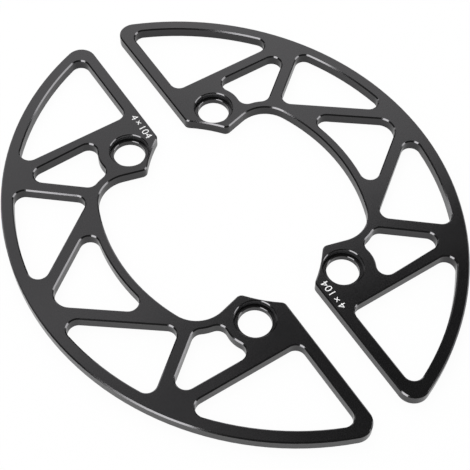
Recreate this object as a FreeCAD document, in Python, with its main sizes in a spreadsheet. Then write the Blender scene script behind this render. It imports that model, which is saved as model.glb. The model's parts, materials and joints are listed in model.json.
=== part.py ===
import FreeCAD, Part
import math
import os
import Sketcher
from FreeCAD import Placement, Rotation, Vector

# Split chainring guard: two identical flat half plates that lie side by side, split edge to split edge.
# Each half is drawn about the crank axis and is then moved to where it lies.
# Lengths are in mm and angles in degrees.
DRIVING = {
    "bolt_circle": 104.0,
    "hole_diameter": 10.2,
    "counterbore_diameter": 12.5,
    "counterbore_depth": 1.85,
    "rim_chamfer": 0.25,
    "ledge_chamfer": 0.15,
    "plate_thickness": 4.0,
    "edge_chamfer": 0.4,
    "outer_radius": 89.9,
    "rim_width": 3.85,
    "bar_width": 3.9,
    "ring_width": 2.8,
    "split_wall": 4.3,
    "nose_land": 0.05,
    "cheek_angle": 15.0,
    "throat_past_hole": 9.33,
    "throat_below_hole": 17.37,
    "throat_radius": 10.1,
    "boss_wall": 2.8,
    "marked_boss_wall": 3.8,
    "marked_bar_tilt": 1.8,
    "node_angle": 27.0,
    "node_inset": 0.38,
    "brace_meeting_depth": 0.56,
    "outer_corner": 5.0,
    "nose_corner": 2.0,
    "window_corner": 3.2,
    "tip_corner": 5.1,
    "lay_gap": 11.25,
    "lay_offset": 0.4,
}

# What follows from the driving dimensions.
DERIVED = {
    "hole_place": "Sizes.bolt_circle / 2 * cos(45 deg)",
    "hole_radius": "Sizes.hole_diameter / 2",
    "hole_rim_reach": "hole_radius + 2 * Sizes.rim_chamfer",
    "ledge_reach": "hole_radius + Sizes.ledge_chamfer",
    "counterbore_radius": "Sizes.counterbore_diameter / 2",
    "counterbore_rim_reach": "counterbore_radius + 2 * Sizes.rim_chamfer",
    "below_plate": "-Sizes.rim_chamfer",
    "ledge_level": "Sizes.plate_thickness - Sizes.counterbore_depth",
    "ledge_chamfer_level": "ledge_level - Sizes.ledge_chamfer",
    "counterbore_rim_level": "Sizes.plate_thickness - Sizes.rim_chamfer",
    "above_plate": "Sizes.plate_thickness + Sizes.rim_chamfer",
    "split_edge": "hole_place - counterbore_radius - Sizes.split_wall",
    "nose_wall": "Sizes.rim_chamfer + Sizes.nose_land + Sizes.edge_chamfer",
    "nose_radius": "Sizes.bolt_circle / 2 - counterbore_radius - nose_wall",
    "throat_x": "hole_place + Sizes.throat_past_hole",
    "throat_y": "hole_place - Sizes.throat_below_hole",
    "inner_radius": "hypot(throat_x; throat_y) + Sizes.throat_radius",
    "boss_radius": "counterbore_radius + Sizes.boss_wall",
    "marked_boss_radius": "counterbore_radius + Sizes.marked_boss_wall",
    "marked_bar_heading": "180 - Sizes.marked_bar_tilt",
    "throat_window_radius": "Sizes.throat_radius + Sizes.ring_width",
    "ring_window_radius": "inner_radius + Sizes.ring_width",
    "rim_window_radius": "Sizes.outer_radius - Sizes.rim_width",
    "corner_window_side": "split_edge + Sizes.bar_width",
    "corner_window_floor": "hole_place + boss_radius + Sizes.bar_width",
    "half_bar": "Sizes.bar_width / 2",
    "node_radius": "inner_radius - Sizes.node_inset",
    "node_x": "node_radius * cos(Sizes.node_angle * 1 deg)",
    "node_y": "node_radius * sin(Sizes.node_angle * 1 deg)",
    "lower_node_y": "-node_y",
    "spoke_end_y": "hole_place + boss_radius",
    "spoke_end_x": "sqrt(rim_window_radius ^ 2 - spoke_end_y ^ 2)",
    "spoke_rise": "spoke_end_y - node_y",
    "spoke_run": "spoke_end_x - node_x",
    "spoke_lean": "asin(half_bar / hypot(spoke_run; spoke_rise))",
    "spoke_angle": "(atan2(spoke_rise; spoke_run) - spoke_lean) / 1 deg",
    "spoke_return": "spoke_angle - 180",
    "brace_run": "Sizes.outer_radius - Sizes.brace_meeting_depth - node_x",
    "brace_angle": "atan2(node_y; brace_run) / 1 deg",
    "brace_heading": "-brace_angle",
    "brace_return": "180 - brace_angle",
    "lay_shift": "split_edge - Sizes.lay_gap / 2",
}

UP = Vector(0, 0, 1)
CRANK_AXIS = Vector(0, 0, 0)
SHARP = "sharp"
SMOOTH = "smooth"
# How a sketch constraint names the sketch's own origin.
ORIGIN = (-1, 1)

doc = FreeCAD.newDocument("chainring_guard")


def add_sheet(name, rows):
    """Adds a spreadsheet with one named cell per row."""
    sheet = doc.addObject("Spreadsheet::Sheet", name)
    for row, (alias, content) in enumerate(rows.items(), start=1):
        sheet.set(f"A{row}", alias)
        sheet.set(f"B{row}", content)
        sheet.setAlias(f"B{row}", alias)
    doc.recompute()
    return sheet


sizes = add_sheet("Sizes", {alias: str(number) for alias, number in DRIVING.items()})
derived = add_sheet("Derived", {alias: "=" + rule for alias, rule in DERIVED.items()})


def formula(alias):
    """The expression that reads a named cell."""
    return f"Sizes.{alias}" if alias in DRIVING else f"Derived.{alias}"


def size(alias):
    """The number in a named cell."""
    return float((sizes if alias in DRIVING else derived).get(alias))


class Node:
    """A construction point, at two named distances from the crank axis, that straight sides are set by."""

    def __init__(self, *names):
        self.names = names
        self.centre = Vector(size(names[0]), size(names[1]), 0)

    def place_in(self, sketch):
        place = sketch.addGeometry(Part.Point(self.centre), True), 1
        pin_point(sketch, place, self.names)
        return place


class Straight:
    """A straight side, walked with the enclosed area on its left.

    It keeps a named distance from a node or a round side's centre, or from the crank axis.
    That centre lies on its left where centre_inside says so.
    A heading is a named angle, or a plain number for a side that is level or upright.
    """

    def __init__(self, heading, distance=None, centre_inside=False, about=None):
        self.heading = heading
        self.distance = distance
        self.about = about
        turn = math.radians(size(heading) if isinstance(heading, str) else heading)
        self.along = Vector(math.cos(turn), math.sin(turn), 0)
        self.left = UP.cross(self.along)
        middle = about.centre if about else CRANK_AXIS
        reach = size(distance) if distance else 0.0
        self.offset = self.left.dot(middle) + (-reach if centre_inside else reach)

    def touching(self, round_side):
        """The same side, moved to touch the outside of a round one."""
        self.offset = self.left.dot(round_side.centre) + round_side.radius
        return self

    def curve(self, inset):
        start = self.left * (self.offset + inset)
        return Part.Line(start, start + self.along)

    def foot(self, point):
        return point - self.left * (self.left.dot(point) - self.offset)

    def edge(self, start, end):
        return Part.LineSegment(start, end), 1, 2

    def pin(self, sketch, index, places):
        if isinstance(self.heading, str):
            bind(sketch, "Angle", (index,), math.radians(size(self.heading)), self.heading)
        else:
            level = abs(self.along.y) < abs(self.along.x)
            sketch.addConstraint(Sketcher.Constraint("Horizontal" if level else "Vertical", index))
        if self.distance:
            middle = ORIGIN
            if isinstance(self.about, Node):
                middle = self.about.place_in(sketch)
            elif self.about:
                middle = centre_of(places[self.about])
            bind(sketch, "Distance", (*middle, index), size(self.distance), self.distance)


class Round:
    """An arc side about a centre, hollow where the enclosed area lies outside its circle.

    A centre is a pair of named distances, or the crank axis where none are given.
    A radius that only follows from the sides beside it is not pinned.
    """

    def __init__(self, radius, hollow, centre=None, pin_radius=True):
        self.radius_name = radius
        self.radius = size(radius)
        self.hollow = hollow
        self.centre_names = centre
        self.centre = Vector(size(centre[0]), size(centre[1]), 0) if centre else CRANK_AXIS
        self.pin_radius = pin_radius

    def curve(self, inset):
        return Part.Circle(self.centre, UP, self.radius + (inset if self.hollow else -inset))

    def foot(self, point):
        ray = point - self.centre
        return self.centre + ray * (self.radius / ray.Length)

    def edge(self, start, end):
        circle = self.curve(0)
        if self.hollow:
            return Part.ArcOfCircle(circle, circle.parameter(end), circle.parameter(start)), 2, 1
        return Part.ArcOfCircle(circle, circle.parameter(start), circle.parameter(end)), 1, 2

    def pin(self, sketch, index, places):
        if self.centre_names:
            pin_point(sketch, centre_of(index), self.centre_names)
        else:
            sketch.addConstraint(Sketcher.Constraint("Coincident", *centre_of(index), *ORIGIN))
        if self.pin_radius:
            bind(sketch, "Radius", (index,), self.radius, self.radius_name)


def bind(sketch, kind, places, value, alias):
    """Adds a dimension to a sketch and ties it to its named cell."""
    index = sketch.addConstraint(Sketcher.Constraint(kind, *places, value))
    sketch.setExpression(f"Constraints[{index}]", formula(alias))


def centre_of(index):
    """How a sketch constraint names an arc's centre."""
    return index, 3


def axis_of_sketch(letter):
    """How a sketch constraint names the sketch's own X or Y axis."""
    return {"X": -1, "Y": -2}[letter]


def pin_point(sketch, place, names):
    """Sets a point at two named distances from the crank axis."""
    for kind, alias in zip(("DistanceX", "DistanceY"), names):
        bind(sketch, kind, (*ORIGIN, *place), size(alias), alias)


def meeting_point(here, following, inset=0.0):
    """Where two sides, moved inwards, meet when they are walked in this order."""
    hits = [Vector(hit.X, hit.Y, 0) for hit in here.curve(inset).intersect(following.curve(inset))]
    if isinstance(here, Round) and isinstance(following, Round):
        return max(hits, key=UP.cross(following.centre - here.centre).dot)
    straight = here if isinstance(here, Straight) else following
    other = following if straight is here else here
    ahead = (straight is here) != getattr(other, "hollow", False)
    return max(hits, key=(straight.along if ahead else -straight.along).dot)


def joint_ends(here, following, joint):
    """Where a side ends, where the next one starts, and the centre of a round between them."""
    if joint == SHARP:
        point = meeting_point(here, following)
        return point, point, None
    if joint == SMOOTH:
        # The round of the two that is not about the crank axis sets the point.
        middle = here.centre if isinstance(here, Round) else following.centre
        point = (following if isinstance(here, Round) else here).foot(middle)
        return point, point, None
    centre = meeting_point(here, following, size(joint))
    return here.foot(centre), following.foot(centre), centre


def draw_loop(sketch, sides, joints):
    """Draws a closed outline from its sides, walked anticlockwise, and pins it to the named sizes.

    joints says how each side meets the next: SHARP, SMOOTH, or the name of the corner's radius.
    """
    ends = []
    for number, joint in enumerate(joints):
        ends.append(joint_ends(sides[number], sides[(number + 1) % len(sides)], joint))
    drawn = []
    for number, side in enumerate(sides):
        shape, first, last = side.edge(ends[number - 1][1], ends[number][0])
        drawn.append((sketch.addGeometry(shape), first, last))
    places = {side: index for side, (index, _, _) in zip(sides, drawn)}
    for number, joint in enumerate(joints):
        side_end = drawn[number][0], drawn[number][2]
        next_start = drawn[(number + 1) % len(sides)][:2]
        start, end, centre = ends[number]
        if centre is None:
            kind = "Coincident" if joint == SHARP else "Tangent"
            sketch.addConstraint(Sketcher.Constraint(kind, *side_end, *next_start))
            continue
        circle = Part.Circle(centre, UP, size(joint))
        arc = Part.ArcOfCircle(circle, circle.parameter(start), circle.parameter(end))
        corner = sketch.addGeometry(arc)
        sketch.addConstraint(Sketcher.Constraint("Tangent", *side_end, corner, 1))
        sketch.addConstraint(Sketcher.Constraint("Tangent", corner, 2, *next_start))
        bind(sketch, "Radius", (corner,), size(joint), joint)
    for side, index in places.items():
        side.pin(sketch, index, places)
    return places


def draw_section(sketch, corners):
    """Draws a closed section from its corners: a named radius, or None on the axis, and a named level."""
    points = [Vector(size(radius) if radius else 0.0, size(level), 0) for radius, level in corners]
    count = len(corners)
    for number in range(count):
        sketch.addGeometry(Part.LineSegment(points[number], points[(number + 1) % count]))
    for number, (radius, level) in enumerate(corners):
        before = (number - 1) % count
        sketch.addConstraint(Sketcher.Constraint("Coincident", before, 2, number, 1))
        if radius:
            bind(sketch, "DistanceX", (*ORIGIN, number, 1), size(radius), radius)
        else:
            sketch.addConstraint(Sketcher.Constraint("PointOnObject", number, 1, axis_of_sketch("Y")))
        bind(sketch, "DistanceY", (*ORIGIN, number, 1), size(level), level)


def origin_plane(body, role):
    return next(plane for plane in body.Origin.OriginFeatures if plane.Role == role)


def flat_sketch(body, name):
    """A sketch on the underside of the plate."""
    sketch = body.newObject("Sketcher::SketchObject", f"{body.Name}_{name}")
    sketch.AttachmentSupport = [(origin_plane(body, "XY_Plane"), "")]
    sketch.MapMode = "FlatFace"
    return sketch


def mirror_across_middle(body, name, features):
    """Repeats features on the other side of the half's middle line."""
    mirrored = body.newObject("PartDesign::Mirrored", f"{body.Name}_{name}")
    mirrored.Originals = features
    mirrored.MirrorPlane = (origin_plane(body, "XZ_Plane"), [""])
    body.Tip = mirrored
    doc.recompute()
    return mirrored


def cut_through(body, name, sketch):
    """Cuts a sketch's outlines through the plate."""
    pocket = body.newObject("PartDesign::Pocket", f"{body.Name}_{name}")
    pocket.Profile = sketch
    pocket.Type = "ThroughAll"
    pocket.SideType = "Symmetric"
    before = pocket.BaseFeature.Shape.Volume
    doc.recompute()
    if pocket.Shape.Volume >= before:
        raise RuntimeError(f"{pocket.Name} cuts nothing")
    return pocket


def make_plate(body):
    """The C-shaped blank: the outline on one side of the middle line, thickened and mirrored."""
    sketch = flat_sketch(body, "outline")
    middle = Straight(0)
    rim = Round("outer_radius", hollow=False)
    split = Straight(-90, "split_edge")
    nose = Round("nose_radius", hollow=True)
    throat = Round("throat_radius", hollow=True, centre=("throat_x", "throat_y"))
    cheek = Straight("cheek_angle").touching(throat)
    inner = Round("inner_radius", hollow=True, pin_radius=False)
    sides = [middle, rim, split, nose, cheek, throat, inner]
    joints = [SHARP, "outer_corner", "nose_corner", "nose_corner", SMOOTH, SMOOTH, SHARP]
    places = draw_loop(sketch, sides, joints)
    sketch.addConstraint(Sketcher.Constraint("PointOnObject", places[middle], 1, axis_of_sketch("X")))
    pad = body.newObject("PartDesign::Pad", f"{body.Name}_pad")
    pad.Profile = sketch
    pad.setExpression("Length", formula("plate_thickness"))
    doc.recompute()
    mirror_across_middle(body, "plate", [pad])


def cut_rim_windows(body):
    """The corner window beside the split edge and the window under the rim, on both sides."""
    sketch = flat_sketch(body, "rim_outlines")
    floor = Straight(0, "corner_window_floor")
    rim = Round("rim_window_radius", hollow=False)
    side = Straight(-90, "corner_window_side")
    draw_loop(sketch, [floor, rim, side], ["window_corner"] * 3)
    node = Node("node_x", "node_y")
    brace = Straight("brace_heading", "half_bar", about=node)
    spoke = Straight("spoke_return", "half_bar", about=node)
    draw_loop(sketch, [brace, Round("rim_window_radius", hollow=False), spoke], ["window_corner"] * 3)
    mirror_across_middle(body, "rim_windows", [cut_through(body, "rim_window", sketch)])


def cut_boss_window(body, name, boss_radius, bar_heading, turned_over):
    """The window beside a bolt boss, between the throat and the first spoke."""
    sketch = flat_sketch(body, f"{name}_outline")
    if turned_over:
        sketch.AttachmentOffset = Placement(CRANK_AXIS, Rotation(Vector(1, 0, 0), 180))
    throat = Round("throat_window_radius", hollow=True, centre=("throat_x", "throat_y"))
    spoke = Straight("spoke_angle", "half_bar", about=Node("node_x", "node_y"))
    boss = Round(boss_radius, hollow=True, centre=("hole_place", "hole_place"))
    bar = Straight(bar_heading, boss_radius, centre_inside=True, about=boss)
    draw_loop(sketch, [throat, spoke, bar, boss], ["window_corner"] * 4)
    cut_through(body, name, sketch)


def cut_ring_window(body):
    """The window across the middle line, between the inner ring and the two braces."""
    sketch = flat_sketch(body, "ring_outline")
    ring = Round("ring_window_radius", hollow=True)
    lower = Straight("brace_angle", "half_bar", about=Node("node_x", "lower_node_y"))
    upper = Straight("brace_return", "half_bar", about=Node("node_x", "node_y"))
    draw_loop(sketch, [ring, lower, upper], ["window_corner", "tip_corner", "window_corner"])
    cut_through(body, "ring_window", sketch)


def break_edges(body):
    """Chamfers every edge of the top and bottom, the only level faces while no hole is turned."""
    plate = body.Tip
    flats = []
    for number, face in enumerate(plate.Shape.Faces, start=1):
        if face.BoundBox.ZLength < Part.Precision.confusion():
            flats.append(f"Face{number}")
    chamfer = body.newObject("PartDesign::Chamfer", f"{body.Name}_broken_edges")
    chamfer.Base = (plate, flats)
    chamfer.setExpression("Size", formula("edge_chamfer"))
    body.Tip = chamfer
    doc.recompute()


def turn_bolt_holes(body):
    """A stepped hole on the bolt circle, counterbored from the top, with its rims broken, on both sides."""
    sketch = body.newObject("Sketcher::SketchObject", f"{body.Name}_hole_section")
    sketch.AttachmentSupport = [(origin_plane(body, "XZ_Plane"), "")]
    sketch.MapMode = "FlatFace"
    sketch.setExpression("AttachmentOffset.Base.x", formula("hole_place"))
    sketch.setExpression("AttachmentOffset.Base.z", f"-{formula('hole_place')}")
    draw_section(sketch, [
        (None, "below_plate"),
        ("hole_rim_reach", "below_plate"),
        ("hole_radius", "rim_chamfer"),
        ("hole_radius", "ledge_chamfer_level"),
        ("ledge_reach", "ledge_level"),
        ("counterbore_radius", "ledge_level"),
        ("counterbore_radius", "counterbore_rim_level"),
        ("counterbore_rim_reach", "above_plate"),
        (None, "above_plate"),
    ])
    groove = body.newObject("PartDesign::Groove", f"{body.Name}_bolt_hole")
    groove.Profile = sketch
    groove.ReferenceAxis = (sketch, ["V_Axis"])
    before = groove.BaseFeature.Shape.Volume
    doc.recompute()
    if groove.Shape.Volume >= before:
        raise RuntimeError(f"{groove.Name} cuts nothing")
    mirror_across_middle(body, "bolt_holes", [groove])


def make_half(name, turn, side):
    """One half plate, turned about the crank axis and moved towards the other half."""
    body = doc.addObject("PartDesign::Body", name)
    body.Label = name
    make_plate(body)
    cut_rim_windows(body)
    cut_boss_window(body, "plain_boss_window", "boss_radius", 180, turned_over=False)
    cut_boss_window(
        body, "marked_boss_window", "marked_boss_radius", "marked_bar_heading", turned_over=True
    )
    cut_ring_window(body)
    break_edges(body)
    turn_bolt_holes(body)
    body.Placement = Placement(CRANK_AXIS, Rotation(UP, turn))
    body.setExpression("Placement.Base.x", f"{-side} * {formula('lay_shift')}")
    body.setExpression("Placement.Base.y", f"{side} * {formula('lay_offset')}")
    return body


halves = [make_half("right_guard_half", 0, 1), make_half("left_guard_half", 180, -1)]
doc.recompute()

for item in doc.Objects:
    if "Invalid" in item.State or "Error" in item.State:
        raise RuntimeError(f"{item.Name} failed: {item.State}")
for half in halves:
    if half.Shape.isNull() or not half.Shape.isValid() or len(half.Shape.Solids) != 1:
        raise RuntimeError(f"{half.Name} is not one sound solid")

os.makedirs("parts", exist_ok=True)
for half in halves:
    half.Shape.exportStep(f"parts/{half.Label}.step")
    print(half.Label, "volume", round(half.Shape.Volume, 1), "mm3", half.Shape.BoundBox)
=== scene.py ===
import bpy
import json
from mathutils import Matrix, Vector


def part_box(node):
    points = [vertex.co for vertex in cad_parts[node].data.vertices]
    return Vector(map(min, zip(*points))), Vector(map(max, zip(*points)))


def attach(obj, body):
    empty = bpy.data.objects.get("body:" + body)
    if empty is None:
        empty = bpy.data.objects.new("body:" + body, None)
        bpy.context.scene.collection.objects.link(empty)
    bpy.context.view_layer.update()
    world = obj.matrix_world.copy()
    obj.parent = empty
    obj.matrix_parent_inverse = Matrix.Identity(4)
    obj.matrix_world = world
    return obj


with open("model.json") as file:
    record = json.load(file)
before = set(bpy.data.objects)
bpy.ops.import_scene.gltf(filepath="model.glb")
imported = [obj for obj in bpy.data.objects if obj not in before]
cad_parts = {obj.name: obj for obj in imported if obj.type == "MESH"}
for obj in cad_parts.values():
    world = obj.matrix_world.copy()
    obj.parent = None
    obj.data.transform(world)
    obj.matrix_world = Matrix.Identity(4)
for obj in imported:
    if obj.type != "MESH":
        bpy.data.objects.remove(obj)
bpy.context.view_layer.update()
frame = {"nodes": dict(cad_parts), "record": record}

import json
import math
from collections import namedtuple

import bmesh
import bpy
from bpy.props import FloatProperty, FloatVectorProperty, PointerProperty, StringProperty
from mathutils import Matrix, Vector

bl_info = {
    "name": "Split Chainring Guard",
    "version": (1, 0, 0),
    "blender": (4, 5, 0),
    "location": "View3D > Sidebar > Guard",
    "description": "Finishes the two halves of a chainring guard and sets up a plain studio",
    "category": "Object",
}

MM = 0.001
HALVES = ("right_guard_half", "left_guard_half")
BODY = "root"
DYE_SLOT = "black_anodised"
MARK_SLOT = "white_mark"
WHITE = (1.0, 1.0, 1.0)
PHOTO_PIXELS = 470
SENSOR_WIDTH = 36.0
MERGE_DISTANCE = 0.01 * MM

# How far upright a surface faces: walls lie below the first value, flat faces above the second.
WALL_LEVEL = 0.3
FACE_LEVEL = 0.95
# How far from its radius a recess wall is still found. The wall of the hole inside it lies further off.
RECESS_SLACK = 0.3 * MM

# Noise: the weight of its finer layers, the range that holds most of its values, and its number of layers.
NOISE_ROUGHNESS = 0.55
NOISE_LOW = 0.3
NOISE_HIGH = 0.7
PATCH_DETAIL = 3.0
GRAIN_DETAIL = 2.0
# Cutter streaks run up a wall, so their noise changes by only this share along Z.
STREAK_SHARE = 0.02
OXIDE_IOR = 1.5
INK_ROUGHNESS = (0.5, 0.6)
THIN_INK = 0.9

FLOOR_STEPS = 96
COVE_STEPS = 12
# The floor lies a hair below the guard, so that no two faces coincide.
FLOOR_DROP = 0.02 * MM

# A soft box: the way to it from the guard and its turn about that way in degrees, its slide and lift along
# its own width and height, its two sides in metres, and its brightness.
SoftBox = namedtuple("SoftBox", "name azimuth elevation roll slide lift width height radiance")
BACK_WAY = (80.5, 37.8, 14.0)
SOFT_BOXES = (
    SoftBox("back_left_low", *BACK_WAY, 0.275, -0.157, 0.95, 0.746, 1.35),
    SoftBox("back_left_high", *BACK_WAY, 0.275, 0.346, 0.95, 0.26, 0.95),
    SoftBox("back_right_low", *BACK_WAY, -0.475, -0.157, 0.55, 0.746, 1.6),
    SoftBox("back_right_high", *BACK_WAY, -0.475, 0.373, 0.55, 0.314, 1.3),
    SoftBox("overhead_box", 87.0, 76.5, 0.0, 0.0, 0.0, 0.46, 0.6, 0.5),
    SoftBox("left_box", -165.0, 33.5, -6.0, 0.0, 0.0, 0.57, 0.57, 2.4),
    SoftBox("right_box", -30.0, 21.5, 0.0, 0.0, 0.0, 0.66, 0.48, 1.6),
)
# Lights the faces without a reflection.
OVERHEAD_FILL = SoftBox("overhead_fill", 0.0, 90.0, 0.0, 0.0, 0.0, 1.6, 1.6, 1.0)
LAMP_DISTANCE = 1.0
LAMP_WATTS_PER_RADIANCE = 4.0


# Settings


class AnodiseSettings(bpy.types.PropertyGroup):
    """Black anodised finish of the two half plates"""

    dye: FloatVectorProperty(
        name="Dye",
        description="Colour of the dyed oxide layer",
        subtype="COLOR",
        size=3,
        min=0.0,
        max=1.0,
        default=(0.004, 0.004, 0.0041),
    )
    sheen: FloatVectorProperty(
        name="Sheen",
        description="Faint tint that the oxide gives to reflections",
        subtype="COLOR",
        size=3,
        min=0.0,
        max=1.0,
        default=(0.985, 0.965, 1.0),
    )
    edge_metal: FloatVectorProperty(
        name="Edge Metal",
        description="Colour of the metal that shines through the thin oxide on the cut chamfers",
        subtype="COLOR",
        size=3,
        min=0.0,
        max=1.0,
        default=(0.183, 0.18, 0.186),
    )
    edge_glance: FloatProperty(
        name="Edge Glance",
        description="Share of that shine left at a glancing angle, where the dye takes up more light",
        subtype="FACTOR",
        min=0.0,
        max=1.0,
        default=0.35,
    )
    # Painted light: this paler colour on the recess walls round the bolts stands in for light on them, not
    # for less dye.
    recess_painted_light: FloatVectorProperty(
        name="Recess Dye",
        description="Colour of the recess walls round the bolts, which take less dye",
        subtype="COLOR",
        size=3,
        min=0.0,
        max=1.0,
        default=(0.055, 0.055, 0.057),
    )
    recess_radius: FloatProperty(
        name="Recess Radius",
        description="Distance of such a wall from the axis of its bolt",
        unit="LENGTH",
        default=6.25 * MM,
    )
    roughness: FloatProperty(
        name="Roughness",
        description="Roughness of the blasted faces",
        subtype="FACTOR",
        min=0.0,
        max=1.0,
        default=0.20,
    )
    edge_roughness: FloatProperty(
        name="Edge Roughness",
        description="Roughness of the cut chamfers, which are smoother than the faces",
        subtype="FACTOR",
        min=0.0,
        max=1.0,
        default=0.14,
    )
    tone_patch: FloatProperty(
        name="Tone Patch",
        description="Width of the faint light and dark patches in the dye",
        unit="LENGTH",
        default=14.0 * MM,
    )
    tone_change: FloatProperty(
        name="Tone Change",
        description="How far the colour of a patch departs from the dye, as a share of it",
        subtype="FACTOR",
        min=0.0,
        max=1.0,
        default=0.1,
    )
    roughness_change: FloatProperty(
        name="Roughness Change",
        description="How far the roughness of a patch departs from that of the faces",
        subtype="FACTOR",
        min=0.0,
        max=1.0,
        default=0.012,
    )
    grain: FloatProperty(
        name="Grain",
        description="Width of one grain of the blasted surface",
        unit="LENGTH",
        default=0.22 * MM,
    )
    grain_depth: FloatProperty(
        name="Grain Depth",
        description="Height of the grain above its pits",
        unit="LENGTH",
        default=0.004 * MM,
    )
    streak: FloatProperty(
        name="Cutter Streak",
        description="Width of one upright streak that the cutter leaves on a wall",
        unit="LENGTH",
        default=0.5 * MM,
    )
    streak_depth: FloatProperty(
        name="Streak Depth",
        description="Depth of a cutter streak",
        unit="LENGTH",
        default=0.012 * MM,
    )


class MarkSettings(bpy.types.PropertyGroup):
    """Bolt pattern printed on each half, beside the split edge"""

    figures: StringProperty(
        name="Figures",
        description="Number of bolts, and the diameter of their circle in millimetres",
        default="4 \u00d7 104",
    )
    ink: FloatVectorProperty(
        name="Ink",
        description="Colour of the printed figures",
        subtype="COLOR",
        size=3,
        min=0.0,
        max=1.0,
        default=(0.86, 0.86, 0.86),
    )
    ink_patch: FloatProperty(
        name="Ink Patch",
        description="Width of the patches where the ink is thin",
        unit="LENGTH",
        default=0.4 * MM,
    )
    length: FloatProperty(
        name="Length",
        description="Length of the printed line",
        unit="LENGTH",
        default=10.6 * MM,
    )
    height: FloatProperty(
        name="Height",
        description="Height of the figures",
        unit="LENGTH",
        default=2.3 * MM,
    )
    weight: FloatProperty(
        name="Weight",
        description="Change of the strokes' half width, as a share of the font's size",
        default=-0.006,
    )
    gap: FloatProperty(
        name="Gap",
        description="Width of the spaces between the figures, as a share of the font's own",
        subtype="FACTOR",
        min=0.0,
        max=1.0,
        default=0.45,
    )
    film: FloatProperty(
        name="Film",
        description="Thickness of the ink",
        unit="LENGTH",
        default=0.015 * MM,
    )
    margin: FloatProperty(
        name="Margin",
        description="Distance from the split edge to the heads of the figures",
        unit="LENGTH",
        default=1.15 * MM,
    )
    start: FloatProperty(
        name="Start",
        description="Distance along the split edge from the half's end to the first figure",
        unit="LENGTH",
        default=35.5 * MM,
    )


class StageSettings(bpy.types.PropertyGroup):
    """Floor, surround and camera"""

    floor_radius: FloatProperty(
        name="Floor Radius",
        description="Radius of the round floor",
        unit="LENGTH",
        default=3.0,
    )
    cove_radius: FloatProperty(
        name="Cove Radius",
        description="Radius of the curve that turns the floor up into its low backdrop",
        unit="LENGTH",
        default=0.6,
    )
    floor_colour: FloatVectorProperty(
        name="Floor Colour",
        description="Colour of the floor and backdrop",
        subtype="COLOR",
        size=3,
        min=0.0,
        max=1.0,
        default=(0.82, 0.82, 0.82),
    )
    floor_glow: FloatProperty(
        name="Floor Glow",
        description="Share of the floor that shows plain white; the rest shows the shadow",
        subtype="FACTOR",
        min=0.0,
        max=1.0,
        default=0.95,
    )
    mirror_glow: FloatProperty(
        name="Mirror Glow",
        description="The same share in reflections, where the shadow under the walls shows more",
        subtype="FACTOR",
        min=0.0,
        max=1.0,
        default=0.6,
    )
    backdrop_glow: FloatProperty(
        name="Backdrop Glow",
        description="Brightness of the backdrop in reflections, above its foot",
        subtype="FACTOR",
        min=0.0,
        max=1.0,
        default=0.3,
    )
    shade_height: FloatProperty(
        name="Shade Height",
        description="Height over which the mirrored backdrop falls from white to that brightness",
        unit="LENGTH",
        default=0.15,
    )
    surround: FloatProperty(
        name="Surround",
        description="Brightness of the dark room around the lamps",
        subtype="FACTOR",
        min=0.0,
        max=1.0,
        default=0.05,
    )
    view_azimuth: FloatProperty(
        name="View Azimuth",
        description="Way from the guard to the camera, as a turn from +X about the upright axis",
        subtype="ANGLE",
        default=math.radians(-126.6485),
    )
    view_elevation: FloatProperty(
        name="View Elevation",
        description="Height of the camera above the floor, as an angle",
        subtype="ANGLE",
        default=math.radians(55.9826),
    )
    view_roll: FloatProperty(
        name="View Roll",
        description="Turn of the camera about its own line of sight",
        subtype="ANGLE",
        default=math.radians(3.6885),
    )
    view_distance: FloatProperty(
        name="View Distance",
        description="Distance from the camera to the point it looks at",
        unit="LENGTH",
        default=364.2255 * MM,
    )
    view_target: FloatVectorProperty(
        name="View Target",
        description="Point on the floor at the middle of the lens",
        subtype="TRANSLATION",
        size=3,
        default=(4.1548 * MM, -11.9075 * MM, 0.0),
    )
    focal_length: FloatProperty(
        name="Focal Length",
        description="Focal length in millimetres on a 36 mm sensor",
        unit="CAMERA",
        default=89.97,
    )
    frame_shift: FloatProperty(
        name="Frame Shift",
        description="Sideways shift of the frame, in photo pixels",
        subtype="PIXEL",
        default=-30.0,
    )


# Shader helpers


def new_material(name):
    """An empty node material and its output node."""
    material = bpy.data.materials.new(name)
    material.use_nodes = True
    material.node_tree.nodes.clear()
    output = material.node_tree.nodes.new("ShaderNodeOutputMaterial")
    return material, output


def add_node(tree, kind, inputs=None, **options):
    """A node with its options set and each named input given a value or a link."""
    node = tree.nodes.new(kind)
    for option, value in options.items():
        setattr(node, option, value)
    for socket, value in (inputs or {}).items():
        if isinstance(value, bpy.types.NodeSocket):
            tree.links.new(value, node.inputs[socket])
        else:
            node.inputs[socket].default_value = value
    return node


def arithmetic(tree, operation, *values):
    """One Math node on values or links."""
    return add_node(tree, "ShaderNodeMath", dict(enumerate(values)), operation=operation).outputs[0]


def mix(tree, factor, first, second, kind="RGBA"):
    """One Mix node, for colours unless another kind is named."""
    inputs = {"Factor": factor, "A": first, "B": second}
    return add_node(tree, "ShaderNodeMix", inputs, data_type=kind).outputs["Result"]


def noise(tree, place, width, detail):
    """Fractal noise whose blobs are about as wide as given, from 0 to 1."""
    inputs = {"Vector": place, "Scale": 1.0 / width, "Detail": detail, "Roughness": NOISE_ROUGHNESS}
    return add_node(tree, "ShaderNodeTexNoise", inputs, noise_dimensions="3D").outputs["Fac"]


def spread(tree, value, low, high):
    """Maps the middle of a noise to a range."""
    inputs = {"Value": value, "From Min": NOISE_LOW, "From Max": NOISE_HIGH, "To Min": low, "To Max": high}
    return add_node(tree, "ShaderNodeMapRange", inputs).outputs["Result"]


def squeeze(tree, place, share):
    """The same place with its height taken down to a share."""
    inputs = {"Vector": place, "Scale": (1.0, 1.0, share)}
    return add_node(tree, "ShaderNodeMapping", inputs).outputs["Vector"]


def relief(tree, height, depth, normal=None):
    """The normal of a surface with small bumps, on top of another relief where one is given."""
    inputs = {"Height": height, "Distance": depth}
    if normal is not None:
        inputs["Normal"] = normal
    return add_node(tree, "ShaderNodeBump", inputs).outputs["Normal"]


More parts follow.
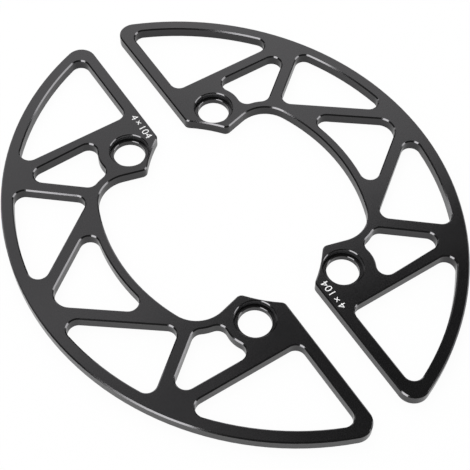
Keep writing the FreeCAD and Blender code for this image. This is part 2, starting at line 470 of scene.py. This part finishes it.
def shade_of(colour, share=1.0):
    """A lighter or darker shade of a colour, as four channels."""
    return (*(channel * share for channel in colour), 1.0)


# Finishes


def bolt_axes():
    """Where the axes of the bolts meet the floor, from the frame's mounts."""
    axes = []
    for mount in frame["record"]["mounts"]:
        if mount["kind"] == "bolt_pattern":
            x, y, _ = mount["pos_m"]
            aside = mount["dims"]["spacing_y_mm"] * MM / 2
            axes += [(x, y + aside, 0.0), (x, y - aside, 0.0)]
    return axes


def near_bolts(tree, place, radius):
    """1 at about that distance from the nearest bolt's axis, and 0 elsewhere."""
    flat = squeeze(tree, place, 0.0)
    nearest = 2 * radius
    for axis in bolt_axes():
        away = add_node(tree, "ShaderNodeVectorMath", {0: flat, 1: axis}, operation="DISTANCE")
        nearest = arithmetic(tree, "MINIMUM", away.outputs["Value"], nearest)
    return arithmetic(tree, "COMPARE", nearest, radius, RECESS_SLACK)


def facing_masks(tree):
    """Three masks, each 1 on its own surfaces: upright walls, flat faces and the chamfers between them."""
    facing = add_node(tree, "ShaderNodeNewGeometry").outputs["True Normal"]
    upright = add_node(tree, "ShaderNodeSeparateXYZ", {"Vector": facing}).outputs["Z"]
    level = arithmetic(tree, "ABSOLUTE", upright)
    wall = arithmetic(tree, "LESS_THAN", level, WALL_LEVEL)
    face = arithmetic(tree, "GREATER_THAN", level, FACE_LEVEL)
    edge = arithmetic(tree, "SUBTRACT", 1.0, arithmetic(tree, "ADD", wall, face))
    return wall, face, edge


def anodised_finish(settings):
    """Dyed oxide on aluminium: dark blasted faces, cutter streaks on the walls, shiny chamfers, and
    painted light on the recess walls round the bolts.
    """
    material, output = new_material(DYE_SLOT)
    tree = material.node_tree
    place = add_node(tree, "ShaderNodeTexCoord").outputs["Object"]
    wall, face, edge = facing_masks(tree)
    recess = arithmetic(tree, "MULTIPLY", near_bolts(tree, place, settings.recess_radius), wall)
    tone = noise(tree, place, settings.tone_patch, PATCH_DETAIL)
    grain = noise(tree, place, settings.grain, GRAIN_DETAIL)
    streak = noise(tree, squeeze(tree, place, STREAK_SHARE), settings.streak, GRAIN_DETAIL)

    darker = shade_of(settings.dye, 1.0 - settings.tone_change)
    lighter = shade_of(settings.dye, 1.0 + settings.tone_change)
    dye = mix(tree, spread(tree, tone, 0.0, 1.0), darker, lighter)
    # Painted light: the recess walls round the bolts get a paler colour in place of light on them.
    dye = mix(tree, recess, dye, shade_of(settings.recess_painted_light))
    colour = mix(tree, edge, dye, shade_of(settings.edge_metal))
    tint = mix(tree, edge, shade_of(settings.sheen), shade_of(WHITE, settings.edge_glance))

    smoother = settings.roughness - settings.roughness_change
    rougher = settings.roughness + settings.roughness_change
    roughness = mix(tree, edge, spread(tree, tone, smoother, rougher), settings.edge_roughness, "FLOAT")

    pits = relief(tree, arithmetic(tree, "MULTIPLY", grain, face), settings.grain_depth)
    cuts = relief(tree, arithmetic(tree, "MULTIPLY", streak, wall), settings.streak_depth, pits)
    coat = add_node(
        tree,
        "ShaderNodeBsdfPrincipled",
        {
            "Base Color": colour,
            "Metallic": edge,
            "Roughness": roughness,
            "IOR": OXIDE_IOR,
            "Specular Tint": tint,
            "Normal": cuts,
        },
    )
    tree.links.new(coat.outputs["BSDF"], output.inputs["Surface"])
    return material


def printed_finish(settings):
    """White ink, a little thin in places."""
    material, output = new_material(MARK_SLOT)
    tree = material.node_tree
    place = add_node(tree, "ShaderNodeTexCoord").outputs["Object"]
    patchy = noise(tree, place, settings.ink_patch, PATCH_DETAIL)
    thin = shade_of(settings.ink, THIN_INK)
    ink = mix(tree, spread(tree, patchy, 0.0, 1.0), thin, shade_of(settings.ink))
    coat = add_node(
        tree,
        "ShaderNodeBsdfPrincipled",
        {"Base Color": ink, "Roughness": spread(tree, patchy, *INK_ROUGHNESS)},
    )
    tree.links.new(coat.outputs["BSDF"], output.inputs["Surface"])
    return material


def floor_finish(settings):
    """Pale floor with a faint shadow: white to the camera, with a shaded backdrop in reflections."""
    material, output = new_material("pale_floor")
    tree = material.node_tree
    path = add_node(tree, "ShaderNodeLightPath").outputs
    seen = arithmetic(tree, "MAXIMUM", path["Is Camera Ray"], path["Is Transmission Ray"])
    seen = arithmetic(tree, "MULTIPLY", seen, settings.floor_glow)
    mirrored = arithmetic(tree, "MULTIPLY", path["Is Glossy Ray"], settings.mirror_glow)

    place = add_node(tree, "ShaderNodeTexCoord").outputs["Object"]
    height = add_node(tree, "ShaderNodeSeparateXYZ", {"Vector": place}).outputs["Z"]
    shade = add_node(
        tree,
        "ShaderNodeMapRange",
        {
            "Value": height,
            "From Max": settings.shade_height,
            "To Min": 1.0,
            "To Max": settings.backdrop_glow,
        },
    )
    strength = arithmetic(tree, "MAXIMUM", path["Is Camera Ray"], shade.outputs["Result"])
    glow = add_node(tree, "ShaderNodeEmission", {"Color": shade_of(WHITE), "Strength": strength})
    matt = add_node(tree, "ShaderNodeBsdfDiffuse", {"Color": shade_of(settings.floor_colour)})
    surface = add_node(
        tree,
        "ShaderNodeMixShader",
        {
            "Fac": arithmetic(tree, "MAXIMUM", seen, mirrored),
            1: matt.outputs["BSDF"],
            2: glow.outputs["Emission"],
        },
    )
    tree.links.new(surface.outputs["Shader"], output.inputs["Surface"])
    return material


# Pieces


def show(name, content):
    """A new object at the origin, linked to the scene."""
    piece = bpy.data.objects.new(name, content)
    bpy.context.scene.collection.objects.link(piece)
    return piece


def figures_mesh(name, settings):
    """The printed line as a thin mesh, lying flat: it starts at the origin and reads along +X."""
    curve = bpy.data.curves.new(name, "FONT")
    curve.body = settings.figures
    # Any thickness will do, because the mesh is scaled to its sizes below.
    curve.extrude = 1.0
    curve.offset = settings.weight
    curve.space_word = settings.gap
    writing = show(name, curve)
    written = writing.evaluated_get(bpy.context.evaluated_depsgraph_get())
    mesh = bpy.data.meshes.new_from_object(written)
    bpy.data.objects.remove(writing)
    bpy.data.curves.remove(curve)

    shape = bmesh.new()
    shape.from_mesh(mesh)
    bmesh.ops.remove_doubles(shape, verts=shape.verts, dist=MERGE_DISTANCE)
    low = Vector([min(v.co[axis] for v in shape.verts) for axis in range(3)])
    high = Vector([max(v.co[axis] for v in shape.verts) for axis in range(3)])
    wanted = (settings.length, settings.height, settings.film)
    bmesh.ops.translate(shape, verts=shape.verts, vec=-low)
    bmesh.ops.scale(shape, verts=shape.verts, vec=[w / s for w, s in zip(wanted, high - low)])
    bmesh.ops.recalc_face_normals(shape, faces=shape.faces)
    shape.to_mesh(mesh)
    shape.free()
    mesh.name = name
    return mesh


def look_back(azimuth, elevation, roll):
    """Turn of a lamp or camera that stands that way from the middle and looks back at it."""
    quarter = math.pi / 2
    upright = Matrix.Rotation(azimuth + quarter, 4, "Z") @ Matrix.Rotation(quarter - elevation, 4, "X")
    return upright @ Matrix.Rotation(roll, 4, "Z")


def add_soft_box(box):
    """An area lamp that faces the guard, which the camera doesn't see."""
    light = bpy.data.lights.new(box.name, "AREA")
    light.shape = "RECTANGLE"
    light.size = box.width
    light.size_y = box.height
    light.energy = box.radiance * LAMP_WATTS_PER_RADIANCE * box.width * box.height
    lamp = show(box.name, light)
    turn = look_back(math.radians(box.azimuth), math.radians(box.elevation), math.radians(box.roll))
    lamp.matrix_world = turn @ Matrix.Translation((box.slide, box.lift, LAMP_DISTANCE))
    lamp.visible_camera = False
    return lamp


# Operators


class GUARD_OT_anodise_halves(bpy.types.Operator):
    """Give both half plates their black anodised finish"""

    bl_idname = "guard.anodise_halves"
    bl_label = "Anodise Halves"

    def execute(self, context):
        finish = anodised_finish(context.scene.guard_anodise)
        for name in HALVES:
            half = frame["nodes"][name]
            for slot in half.material_slots:
                slot.material = finish
        return {"FINISHED"}


class GUARD_OT_print_marks(bpy.types.Operator):
    """Print the bolt pattern on each half, beside the split edge"""

    bl_idname = "guard.print_marks"
    bl_label = "Print Bolt Pattern"

    def execute(self, context):
        settings = context.scene.guard_mark
        finish = printed_finish(settings)
        low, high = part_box(HALVES[0])
        heads = low.x + settings.margin
        corner = Vector((heads + settings.height, low.y + settings.start, high.z))
        on_right = Matrix.Translation(corner) @ Matrix.Rotation(math.pi / 2, 4, "Z")
        for half, turn in zip(HALVES, (0.0, math.pi)):
            name = half.replace("guard_half", "bolt_figures")
            mesh = figures_mesh(name, settings)
            mesh.transform(Matrix.Rotation(turn, 4, "Z") @ on_right)
            mesh.materials.clear()
            mesh.materials.append(finish)
            mark = show(name, mesh)
            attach(mark, BODY)
        return {"FINISHED"}


class GUARD_OT_set_stage(bpy.types.Operator):
    """Build the floor and lamps, and place the camera"""

    bl_idname = "guard.set_stage"
    bl_label = "Set Stage"

    def execute(self, context):
        settings = context.scene.guard_stage
        self.lay_floor(settings)
        self.hang_lamps()
        self.dim_room(context.scene, settings)
        self.place_camera(context.scene, settings)
        context.scene.view_settings.view_transform = "Standard"
        return {"FINISHED"}

    def lay_floor(self, settings):
        """A round floor whose rim curves up into a low backdrop."""
        shape = bmesh.new()
        middle = shape.verts.new((0.0, 0.0, -FLOOR_DROP))
        rim = shape.verts.new((settings.floor_radius, 0.0, -FLOOR_DROP))
        shape.edges.new((middle, rim))
        bmesh.ops.spin(
            shape,
            geom=[rim],
            cent=(settings.floor_radius, 0.0, settings.cove_radius - FLOOR_DROP),
            axis=(0.0, -1.0, 0.0),
            angle=math.pi / 2,
            steps=COVE_STEPS,
        )
        bmesh.ops.spin(
            shape,
            geom=shape.verts[:] + shape.edges[:],
            cent=(0.0, 0.0, 0.0),
            axis=(0.0, 0.0, 1.0),
            angle=2 * math.pi,
            steps=FLOOR_STEPS,
            use_merge=True,
        )
        bmesh.ops.remove_doubles(shape, verts=shape.verts, dist=MERGE_DISTANCE)
        bmesh.ops.recalc_face_normals(shape, faces=shape.faces)
        mesh = bpy.data.meshes.new("floor")
        shape.to_mesh(mesh)
        shape.free()
        mesh.materials.append(floor_finish(settings))
        show("floor", mesh)

    def hang_lamps(self):
        """The soft boxes and the fill."""
        for box in SOFT_BOXES:
            add_soft_box(box)
        add_soft_box(OVERHEAD_FILL).visible_glossy = False

    def dim_room(self, scene, settings):
        """A dark, even surround that looks white to the camera."""
        room = bpy.data.worlds.new("dark_room")
        room.use_nodes = True
        tree = room.node_tree
        path = add_node(tree, "ShaderNodeLightPath").outputs
        strength = arithmetic(tree, "MAXIMUM", path["Is Camera Ray"], settings.surround)
        background = tree.nodes["Background"]
        background.inputs["Color"].default_value = shade_of(WHITE)
        tree.links.new(strength, background.inputs["Strength"])
        scene.world = room

    def place_camera(self, scene, settings):
        """The photo's viewpoint."""
        data = bpy.data.cameras.new("camera")
        data.sensor_width = SENSOR_WIDTH
        data.lens = settings.focal_length
        data.shift_x = settings.frame_shift / PHOTO_PIXELS
        camera = show("camera", data)
        turn = look_back(settings.view_azimuth, settings.view_elevation, settings.view_roll)
        back = Matrix.Translation((0.0, 0.0, settings.view_distance))
        camera.matrix_world = Matrix.Translation(settings.view_target) @ turn @ back
        scene.camera = camera


class GUARD_PT_studio(bpy.types.Panel):
    """Pieces and stage of the guard, in the order they are made"""

    bl_idname = "GUARD_PT_studio"
    bl_label = "Split Chainring Guard"
    bl_space_type = "VIEW_3D"
    bl_region_type = "UI"
    bl_category = "Guard"

    def draw(self, context):
        scene = context.scene
        for settings, operator in (
            (scene.guard_anodise, "guard.anodise_halves"),
            (scene.guard_mark, "guard.print_marks"),
            (scene.guard_stage, "guard.set_stage"),
        ):
            section = self.layout.box()
            for name in settings.__annotations__:
                section.prop(settings, name)
            section.operator(operator)


CLASSES = (
    AnodiseSettings,
    MarkSettings,
    StageSettings,
    GUARD_OT_anodise_halves,
    GUARD_OT_print_marks,
    GUARD_OT_set_stage,
    GUARD_PT_studio,
)


def register():
    for cls in CLASSES:
        bpy.utils.register_class(cls)
    bpy.types.Scene.guard_anodise = PointerProperty(type=AnodiseSettings)
    bpy.types.Scene.guard_mark = PointerProperty(type=MarkSettings)
    bpy.types.Scene.guard_stage = PointerProperty(type=StageSettings)


def unregister():
    del bpy.types.Scene.guard_stage
    del bpy.types.Scene.guard_mark
    del bpy.types.Scene.guard_anodise
    for cls in reversed(CLASSES):
        bpy.utils.unregister_class(cls)


def main():
    register()
    bpy.ops.guard.anodise_halves()
    bpy.ops.guard.print_marks()
    bpy.ops.guard.set_stage()


if __name__ == "__main__":
    main()
